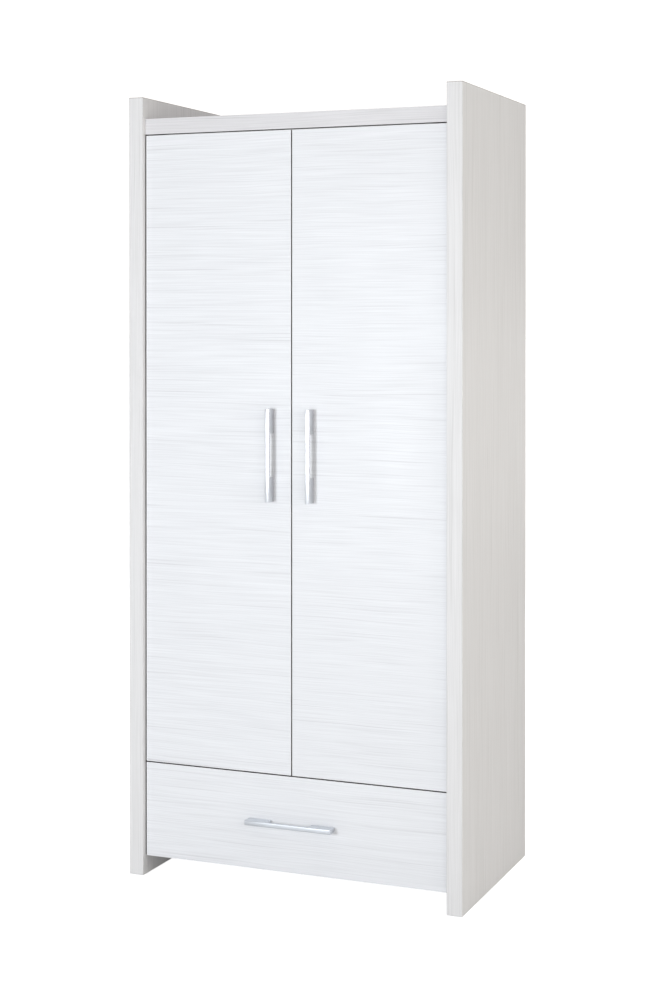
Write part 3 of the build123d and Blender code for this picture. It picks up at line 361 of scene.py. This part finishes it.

gap_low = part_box("left_door_panel")[0]
gap_low.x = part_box("side_panel_left")[1].x - GAP_REACH
gap_low.y += FRONT_CLEAR
gap_low.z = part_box("drawer_front")[0].z
gap_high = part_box("right_door_panel")[1]
gap_high.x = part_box("side_panel_right")[0].x + GAP_REACH
gap_high.y -= BACK_CLEAR
gap_high.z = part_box("top_panel")[0].z + GAP_REACH
painted_shade, painted_shade_in, painted_shade_out = new_group("gap_painted_shade", [("Position", VECTOR, None)], [("Painted shade", FLOAT)])
past_low = vector_step(painted_shade, "SUBTRACT", painted_shade_in["Position"], tuple(gap_low))
past_high = vector_step(painted_shade, "SUBTRACT", tuple(gap_high), painted_shade_in["Position"])
past_both = vector_step(painted_shade, "MINIMUM", past_low, past_high)
inside = node(painted_shade, "ShaderNodeSeparateXYZ", {0: past_both}).outputs
least = math_node(painted_shade, "MINIMUM", math_node(painted_shade, "MINIMUM", inside["X"], inside["Y"]), inside["Z"])
painted_shade.links.new(ramp(painted_shade, least, 0.0, PAINTED_SHADE_EDGE), painted_shade_out["Painted shade"])
print("dust from", [round(v, 3) for v in gap_low], "to", [round(v, 3) for v in gap_high])

# %% [markdown]
# ## Handling marks
# Nothing that is used stays evenly shiny. Soft blotches of slightly different gloss, with a few fine
# wipe marks, are worth more than any colour change, because the eye reads them in the reflections.

# %% Handling marks group
BLOTCH_SCALE, SPECKLE_SCALE = 7.0, 900.0
WIPE_TURN, WIPE_STRETCH = (0.5, 0.4, 0.6), (2.0, 60.0, 8.0)
BLOTCH_RANGE, WIPE_RANGE = (0.35, 0.65), (0.55, 0.75)

marks, marks_in, marks_out = new_group(
    "handling_marks",
    [("Position", VECTOR, None), ("Scale", FLOAT, 1.0)],
    [("Blotches", FLOAT), ("Wipes", FLOAT), ("Speckle", FLOAT)],
)
scaling = {0: marks_in["Position"], 3: marks_in["Scale"]}
scaled = node(marks, "ShaderNodeVectorMath", scaling, operation="SCALE")
blotches = node(marks, "ShaderNodeTexNoise", {
    "Vector": scaled.outputs[0], "Scale": BLOTCH_SCALE, "Detail": 3.0,
})
wipe_path = node(marks, "ShaderNodeMapping", {
    "Vector": scaled.outputs[0], "Rotation": WIPE_TURN, "Scale": WIPE_STRETCH,
})
wipes = node(marks, "ShaderNodeTexNoise", {
    "Vector": wipe_path.outputs[0], "Scale": 1.0, "Detail": 2.0,
})
speckle = node(marks, "ShaderNodeTexNoise", {
    "Vector": scaled.outputs[0], "Scale": SPECKLE_SCALE, "Detail": 1.0,
})
marks.links.new(ramp(marks, blotches.outputs["Fac"], *BLOTCH_RANGE), marks_out["Blotches"])
marks.links.new(ramp(marks, wipes.outputs["Fac"], *WIPE_RANGE), marks_out["Wipes"])
marks.links.new(speckle.outputs["Fac"], marks_out["Speckle"])
print("group", marks.name, "has", len(marks.nodes), "nodes")

# %% [markdown]
# ## Laminate for one board
# Each board is cut from another part of the sheet, so it gets its own seed, and its own box for the edge
# group. The position across the grain is the sum of the two other axes, so that the pattern also turns the
# corner onto the board's edges in place of smearing there. The printed lines lie a little deeper than the
# skin round them and are a little duller, as on real textured laminate.

# %% Laminate material
AXES = {"X": 0, "Y": 1, "Z": 2}
HAIRLINE_SHARE, STREAK_SHARE, CLOUD_SHARE, DARK_LINE_SHARE = 0.38, 0.15, 0.05, 0.52
SEAM_SHARE, SEAM_SHADE = 0.5, 0.6       # how much of the glue line shows, and how dark it is
# The share of the corner colour: a brown edge-band rim on upright boards, a painted highlight on the front
# and top boards.
RIM_TINT_AND_HIGHLIGHT_SHARE = 0.7
TINTED_END, TINT_FADE = 0.004, 0.002    # the length of an upright board's tinted top end
# The colour and strength of the painted shade in the gaps round the doors and the drawer front.
PAINTED_SHADE_COLOUR, PAINTED_SHADE_SHARE = (0.12, 0.095, 0.09, 1), 0.88
BLOTCH_ROUGH, WIPE_ROUGH, GRAIN_ROUGH, CORNER_POLISH = 0.05, 0.03, 0.10, -0.08
SPECKLE_HEIGHT, SEAM_HEIGHT = 0.25, -2.0
PRINT_RELIEF, PRINT_RELIEF_SHARE = 0.00006, 0.25
LAMINATE_IOR = 1.5


def base_material(name):
    """A material with its tree, shader and the object's own coordinates."""
    material = bpy.data.materials.new(name)
    material.use_nodes = True
    tree = material.node_tree
    place = tree.nodes.new("ShaderNodeTexCoord").outputs["Object"]
    return material, tree, tree.nodes["Principled BSDF"], place


def laminate(name, box, seed, grain_axis, look):
    """Printed grain under a clear skin, with an edge band, for a board that fills the given box."""
    pale, dark, corner, amount, gloss = look
    material, tree, shader, place = base_material(name)
    low, high = box
    parts = node(tree, "ShaderNodeSeparateXYZ", {0: place}).outputs
    across = math_node(tree, "ADD", *[parts[axis] for axis in AXES if axis != grain_axis])
    sheet = {"Along": parts[grain_axis], "Across": across, "Seed": seed, "Drift": GRAIN_DRIFT}
    lines = use_group(tree, grain, sheet)
    board_box = {"Position": place, "Low": tuple(low), "High": tuple(high), "Band": BAND_THICK}
    rim = use_group(tree, edges, board_box)
    hands = use_group(tree, marks, {"Position": place, "Scale": 1.0})
    hair = math_node(tree, "MULTIPLY", lines["Hairlines"], HAIRLINE_SHARE * amount)
    streak = math_node(tree, "MULTIPLY_ADD", lines["Streaks"], STREAK_SHARE * amount, hair)
    cloud = math_node(tree, "MULTIPLY_ADD", lines["Clouds"], CLOUD_SHARE * amount, streak)
    darkest = DARK_LINE_SHARE * amount
    total = math_node(tree, "MULTIPLY_ADD", lines["Dark lines"], darkest, cloud, clamp=True)
    printed = colour_mix(tree, total, (*pale, 1), (*dark, 1))
    glue_line = (*[channel * SEAM_SHADE for channel in dark], 1)
    seamed = colour_mix(tree, math_node(tree, "MULTIPLY", rim["Seam"], SEAM_SHARE), printed, glue_line)
    # Upright boards take the corner colour at their top ends only, the others all round. On the front and
    # top boards it is a paler painted highlight along the edges.
    tinted_from = high.z - TINTED_END if grain_axis == "Z" else low.z - 1.0
    above = ramp(tree, parts["Z"], tinted_from, tinted_from + TINT_FADE)
    tinted = math_node(tree, "MULTIPLY", rim["Corner"], above)
    rim_tint_and_highlight = colour_mix(tree, math_node(tree, "MULTIPLY", tinted, RIM_TINT_AND_HIGHLIGHT_SHARE), seamed, (*corner, 1))
    # Painted shade: the faces round the gaps beside the doors and the drawer front are painted dark
    # brown-grey, so the gaps read as dark lines.
    painted_shade_mask = use_group(tree, painted_shade, {"Position": place})["Painted shade"]
    with_painted_shade = colour_mix(tree, math_node(tree, "MULTIPLY", painted_shade_mask, PAINTED_SHADE_SHARE), rim_tint_and_highlight, PAINTED_SHADE_COLOUR)
    tree.links.new(with_painted_shade, shader.inputs["Base Color"])
    rough = math_node(tree, "MULTIPLY_ADD", hands["Blotches"], BLOTCH_ROUGH, gloss)
    rough = math_node(tree, "MULTIPLY_ADD", hands["Wipes"], WIPE_ROUGH, rough)
    rough = math_node(tree, "MULTIPLY_ADD", total, GRAIN_ROUGH, rough)
    rough = math_node(tree, "MULTIPLY_ADD", rim["Corner"], CORNER_POLISH, rough)
    tree.links.new(rough, shader.inputs["Roughness"])
    height = math_node(tree, "SUBTRACT", 1.0, total)
    height = math_node(tree, "MULTIPLY_ADD", hands["Speckle"], SPECKLE_HEIGHT, height)
    height = math_node(tree, "MULTIPLY_ADD", rim["Seam"], SEAM_HEIGHT, height)
    relief = {"Height": height, "Strength": PRINT_RELIEF_SHARE, "Distance": PRINT_RELIEF}
    bump = node(tree, "ShaderNodeBump", relief)
    tree.links.new(bump.outputs["Normal"], shader.inputs["Normal"])
    shader.inputs["IOR"].default_value = LAMINATE_IOR
    return material


print("seam", BAND_THICK * 1000, "mm from each corner, print", PRINT_RELIEF * 1000, "mm deep")

# %% [markdown]
# ## A look for each kind of board
# The front boards are a cool bright white with level grain, the top a greyer one, and the side panels a
# warmer one with upright grain. The boards inside are plain melamine with the same grain much fainter. The
# upright boards' top ends show the glue line of their edge band as a thin brown rim, while the front and top
# boards' edges are painted paler all round, a painted highlight.

# %% Laminate every board
# Each look is: pale colour, dark colour, colour of the corners (a brown edge-band rim, or a painted
# highlight on the front and top boards), grain strength, roughness.
FRONT_LOOK = ((0.858, 0.865, 0.888), (0.60, 0.595, 0.615), (0.97, 0.97, 0.98), 0.72, 0.40)
TOP_LOOK = ((0.765, 0.75, 0.765), (0.56, 0.55, 0.555), (0.82, 0.81, 0.82), 0.9, 0.42)
SIDE_LOOK = ((0.80, 0.788, 0.79), (0.57, 0.56, 0.55), (0.34, 0.30, 0.27), 0.62, 0.46)
INNER_LOOK = ((0.82, 0.82, 0.81), (0.66, 0.66, 0.64), (0.80, 0.80, 0.78), 0.5, 0.50)
BOARD_SLOTS = ("side_board", "front_board", "inner_board", "thin_board")
FIRST_SEED, SEED_STEP = 1.3, 3.7

boards = [name for name in sorted(nodes) if slot_of[name] in BOARD_SLOTS]
for number, name in enumerate(boards):
    grain_axis, look = "X", INNER_LOOK
    if name == "top_panel":
        look = TOP_LOOK
    elif slot_of[name] == "front_board":
        look = FRONT_LOOK
    elif slot_of[name] == "side_board":
        grain_axis, look = "Z", SIDE_LOOK
    elif name.startswith("back_panel"):
        grain_axis = "Z"
    elif name.startswith("drawer_side"):
        grain_axis = "Y"
    seed = SEED_STEP * number + FIRST_SEED
    finish = laminate(f"{name}_laminate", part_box(name), seed, grain_axis, look)
    nodes[name].data.materials.clear()
    nodes[name].data.materials.append(finish)
print("laminated", len(boards), "boards")

# %% [markdown]
# ## Metals
# Aluminium handles are brushed along their length and anodised, which leaves very fine lines in the
# reflections and no colour. Plated steel fittings are smoother, with a mottled gloss where the plating
# pooled, and cast zinc is dull and grainy. One function makes them all from a few numbers.

# %% Metals
MOTTLE_SCALE = 900.0
BRUSH_ACROSS, BRUSH_ALONG = 1600.0, 5.0
DULLER = 0.93                 # the darker of the two shades in a brushed or mottled metal
BRUSH_ROUGH = 0.10            # how far the roughness varies with the brushing


def metal(name, colour, rough, brush_axis=None, grain_size=1.0, mottle=0.05, bumpiness=0.000006):
    """A bare or plated metal, brushed along an axis or only mottled."""
    material, tree, shader, place = base_material(name)
    stretch = [MOTTLE_SCALE * grain_size] * 3
    if brush_axis:
        stretch = [BRUSH_ACROSS] * 3
        stretch[AXES[brush_axis]] = BRUSH_ALONG
    brush_path = node(tree, "ShaderNodeMapping", {"Vector": place, "Scale": stretch})
    brush = node(tree, "ShaderNodeTexNoise", {
        "Vector": brush_path.outputs[0], "Scale": 1.0, "Detail": 3.0,
    })
    hands = use_group(tree, marks, {"Position": place, "Scale": 4.0})
    duller = (*[channel * DULLER for channel in colour], 1)
    tint = colour_mix(tree, ramp(tree, brush.outputs["Fac"], 0.3, 0.7), duller, (*colour, 1))
    tree.links.new(tint, shader.inputs["Base Color"])
    smoothest = rough - BRUSH_ROUGH / 2
    gloss = math_node(tree, "MULTIPLY_ADD", brush.outputs["Fac"], BRUSH_ROUGH, smoothest)
    gloss = math_node(tree, "MULTIPLY_ADD", hands["Blotches"], mottle, gloss)
    tree.links.new(gloss, shader.inputs["Roughness"])
    relief = {"Height": brush.outputs["Fac"], "Strength": 0.5, "Distance": bumpiness}
    bump = node(tree, "ShaderNodeBump", relief)
    tree.links.new(bump.outputs["Normal"], shader.inputs["Normal"])
    shader.inputs["Metallic"].default_value = 1.0
    return material


upright_aluminium = metal("aluminium_brushed_upright", (0.75, 0.765, 0.795), 0.30, "Z", 1.0, 0.02, 0.000002)
level_aluminium = metal("aluminium_brushed_level", (0.72, 0.745, 0.785), 0.42, "X", 1.0, 0.02, 0.000002)
finishes = {
    "chrome": metal("rail_chrome", (0.80, 0.80, 0.82), 0.10, mottle=0.03, bumpiness=0.000004),
    "nickel_steel": metal("nickel_plate", (0.70, 0.685, 0.66), 0.26, grain_size=0.6, bumpiness=0.00002),
    "zinc_steel": metal("zinc_plate", (0.62, 0.63, 0.66), 0.34, None, 0.8, 0.12, 0.00002),
    "cast_zinc": metal("cast_zinc", (0.50, 0.50, 0.51), 0.48, grain_size=1.4, bumpiness=0.00006),
}
print("metals", sorted(finishes), "and two kinds of brushed aluminium")

# %% [markdown]
# ## Plastics, paint, rubber and beech
# Powder paint has a faint orange-peel skin. Moulded plastic is smoother, with a fine spark-eroded grain.
# The dowels are turned beech with short dark flecks. They are seen only where a board is taken off.

# %% Other finishes
PEEL_ROUGH = 0.12
FLECK_STRETCH = (160.0, 1400.0, 1400.0)
BEECH_PALE, BEECH_FLECK = (0.60, 0.40, 0.22, 1), (0.36, 0.20, 0.10, 1)


def skin(name, colour, rough, peel_scale, peel_depth, darker=0.9):
    """A painted or moulded skin: colour, gloss and a fine relief of its own."""
    material, tree, shader, place = base_material(name)
    peel = node(tree, "ShaderNodeTexNoise", {"Vector": place, "Scale": peel_scale, "Detail": 2.0})
    hands = use_group(tree, marks, {"Position": place, "Scale": 3.0})
    shaded = (*[channel * darker for channel in colour], 1)
    shade = colour_mix(tree, hands["Blotches"], (*colour, 1), shaded)
    tree.links.new(shade, shader.inputs["Base Color"])
    smoothest = rough - PEEL_ROUGH / 2
    gloss = math_node(tree, "MULTIPLY_ADD", peel.outputs["Fac"], PEEL_ROUGH, smoothest)
    tree.links.new(gloss, shader.inputs["Roughness"])
    relief = {"Height": peel.outputs["Fac"], "Strength": 0.4, "Distance": peel_depth}
    bump = node(tree, "ShaderNodeBump", relief)
    tree.links.new(bump.outputs["Normal"], shader.inputs["Normal"])
    return material


def beech_wood(name):
    """Turned beech with short flecks along X, the way most of the dowels lie."""
    material, tree, shader, place = base_material(name)
    fleck_path = node(tree, "ShaderNodeMapping", {"Vector": place, "Scale": FLECK_STRETCH})
    fleck_noise = {"Vector": fleck_path.outputs[0], "Scale": 1.0, "Detail": 2.0}
    flecks = node(tree, "ShaderNodeTexNoise", fleck_noise)
    fleck = ramp(tree, flecks.outputs["Fac"], 0.5, 0.7)
    tint = colour_mix(tree, fleck, BEECH_PALE, BEECH_FLECK)
    tree.links.new(tint, shader.inputs["Base Color"])
    relief = {"Height": flecks.outputs["Fac"], "Strength": 0.5, "Distance": 0.00008}
    bump = node(tree, "ShaderNodeBump", relief)
    tree.links.new(bump.outputs["Normal"], shader.inputs["Normal"])
    shader.inputs["Roughness"].default_value = 0.6
    return material


finishes.update({
    "coated_steel": skin("runner_powder_paint", (0.82, 0.82, 0.81), 0.42, 700.0, 0.00005),
    "white_plastic": skin("white_nylon", (0.84, 0.84, 0.81), 0.45, 1400.0, 0.00002),
    "dark_plastic": skin("glide_plastic", (0.08, 0.08, 0.085), 0.55, 1200.0, 0.00004, 0.7),
    "clear_rubber": skin("bumper_rubber", (0.66, 0.67, 0.66), 0.35, 500.0, 0.00002),
    "beech": beech_wood("beech_dowel"),
})
for name, piece in nodes.items():
    if slot_of[name] in finishes:
        piece.data.materials.clear()
        piece.data.materials.append(finishes[slot_of[name]])
print("finished", sum(slot_of[name] in finishes for name in nodes), "fittings")

# %% [markdown]
# ## Choosing faces and edges in code
# The handles are modelled in edit mode, where a person would click on the faces to pull or the edges to
# round. In a script the same choice is a test on each face or edge, such as whether all its corners lie on
# the back of the bar. The sizes are those of a slim bar handle with a finger gap.

# %% Selection helpers
BAR_THICK = 0.007
GRIP_LENGTH = 0.104
FRONT_ROUND = 0.0017
FINE_ROUND = 0.0005
ROUNDED_ABOVE = math.radians(40)        # edges sharper than this get the fine rounding
SMOOTH_BELOW = math.radians(35)         # faces that meet at less than this are shaded as one
SAME_PLACE = 1e-5
SHORT_EDGE = 1e-3


def start_edit(piece):
    """Make a piece the only selected one and open it in edit mode with nothing selected."""
    bpy.ops.object.select_all(action="DESELECT")
    piece.select_set(True)
    bpy.context.view_layer.objects.active = piece
    bpy.ops.object.mode_set(mode="EDIT")
    bpy.ops.mesh.select_all(action="DESELECT")


def choose(piece, domain, test):
    """Select the faces or edges whose middle and corners pass a test."""
    bpy.ops.object.mode_set(mode="OBJECT")
    mesh = piece.data
    for part in getattr(mesh, domain):
        corners = [mesh.vertices[index].co for index in part.vertices]
        part.select = test(sum(corners, Vector()) / len(corners), corners)
    bpy.ops.object.mode_set(mode="EDIT")


print("bar", BAR_THICK * 1000, "mm thick with a finger gap", GRIP_LENGTH * 1000, "mm long")

# %% [markdown]
# ## The bar handles
# Each handle is one length of aluminium bar: a slim front rail, with a long foot at each end, and a finger
# gap milled out between the feet. It could be cut from a block with a boolean, but it is cleaner to begin
# with the front rail alone, cut it across where the feet start, and pull the two feet out of its back
# face. The long front edges then get a wide rounding and every other edge a fine one, as on a handle that
# has been milled and then tumbled.

# %% Model one handle


def bar_handle(name, cad_node, along, finish):
    """A bar handle in the place of its CAD node, lying along the given axis."""
    low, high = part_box(cad_node)
    axis = AXES[along]
    middle = (low + high) / 2
    size = high - low
    size.y = BAR_THICK
    middle.y = low.y + BAR_THICK / 2
    bpy.ops.object.select_all(action="DESELECT")
    bpy.ops.mesh.primitive_cube_add(size=1, location=middle)
    handle = bpy.context.object
    handle.name = name
    handle.scale = size
    bpy.ops.object.transform_apply(location=True, rotation=True, scale=True)
    start_edit(handle)
    direction = Vector((0, 0, 0))
    direction[axis] = 1
    for end in (-1, 1):
        bpy.ops.mesh.select_all(action="SELECT")
        bpy.ops.mesh.bisect(plane_co=middle + direction * end * GRIP_LENGTH / 2, plane_no=direction)
    bpy.ops.mesh.select_mode(type="FACE")
    back = low.y + BAR_THICK
    choose(handle, "polygons", lambda centre, corners: (
        all(abs(corner.y - back) < SAME_PLACE for corner in corners)
        and abs(centre[axis] - middle[axis]) > GRIP_LENGTH / 2
    ))
    bpy.ops.mesh.extrude_region_move(TRANSFORM_OT_translate={"value": (0, high.y - back, 0)})
    bpy.ops.mesh.select_mode(type="EDGE")
    choose(handle, "edges", lambda centre, corners: (
        all(abs(corner.y - low.y) < SAME_PLACE for corner in corners)
        and abs(corners[0][axis] - corners[1][axis]) > SHORT_EDGE
    ))
    bpy.ops.mesh.bevel(offset=FRONT_ROUND, segments=5, profile=0.5)
    bpy.ops.object.mode_set(mode="OBJECT")
    rounding = handle.modifiers.new("fine_rounding", "BEVEL")
    rounding.width = FINE_ROUND
    rounding.segments = 3
    rounding.limit_method = "ANGLE"
    rounding.angle_limit = ROUNDED_ABOVE
    bpy.ops.object.modifier_apply(modifier=rounding.name)
    bpy.ops.object.shade_smooth_by_angle(angle=SMOOTH_BELOW)
    handle.data.materials.append(finish)
    print(name, len(handle.data.polygons), "faces")
    return handle


left_handle = bar_handle("left_bar_handle", "left_handle", "Z", upright_aluminium)
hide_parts("left_handle")
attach(left_handle, "left_door")
drawer_handle = bar_handle("drawer_bar_handle", "drawer_handle", "X", level_aluminium)
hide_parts("drawer_handle")
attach(drawer_handle, "drawer")

# %% [markdown]
# The right door's handle is the left one again, so it is copied with a mesh of its own, and its corners are
# moved across by the distance between the two CAD handles. Moving the mesh keeps the object at the origin.

# %% Copy the right handle
right_handle = left_handle.copy()
right_handle.data = left_handle.data.copy()
right_handle.name = "right_bar_handle"
bpy.context.scene.collection.objects.link(right_handle)
step_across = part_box("right_handle")[0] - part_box("left_handle")[0]
for corner in right_handle.data.vertices:
    corner.co += step_across
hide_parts("right_handle")
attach(right_handle, "right_door")
print(right_handle.name, "stands", round(step_across.x * 1000, 1), "mm to the right of the left one")
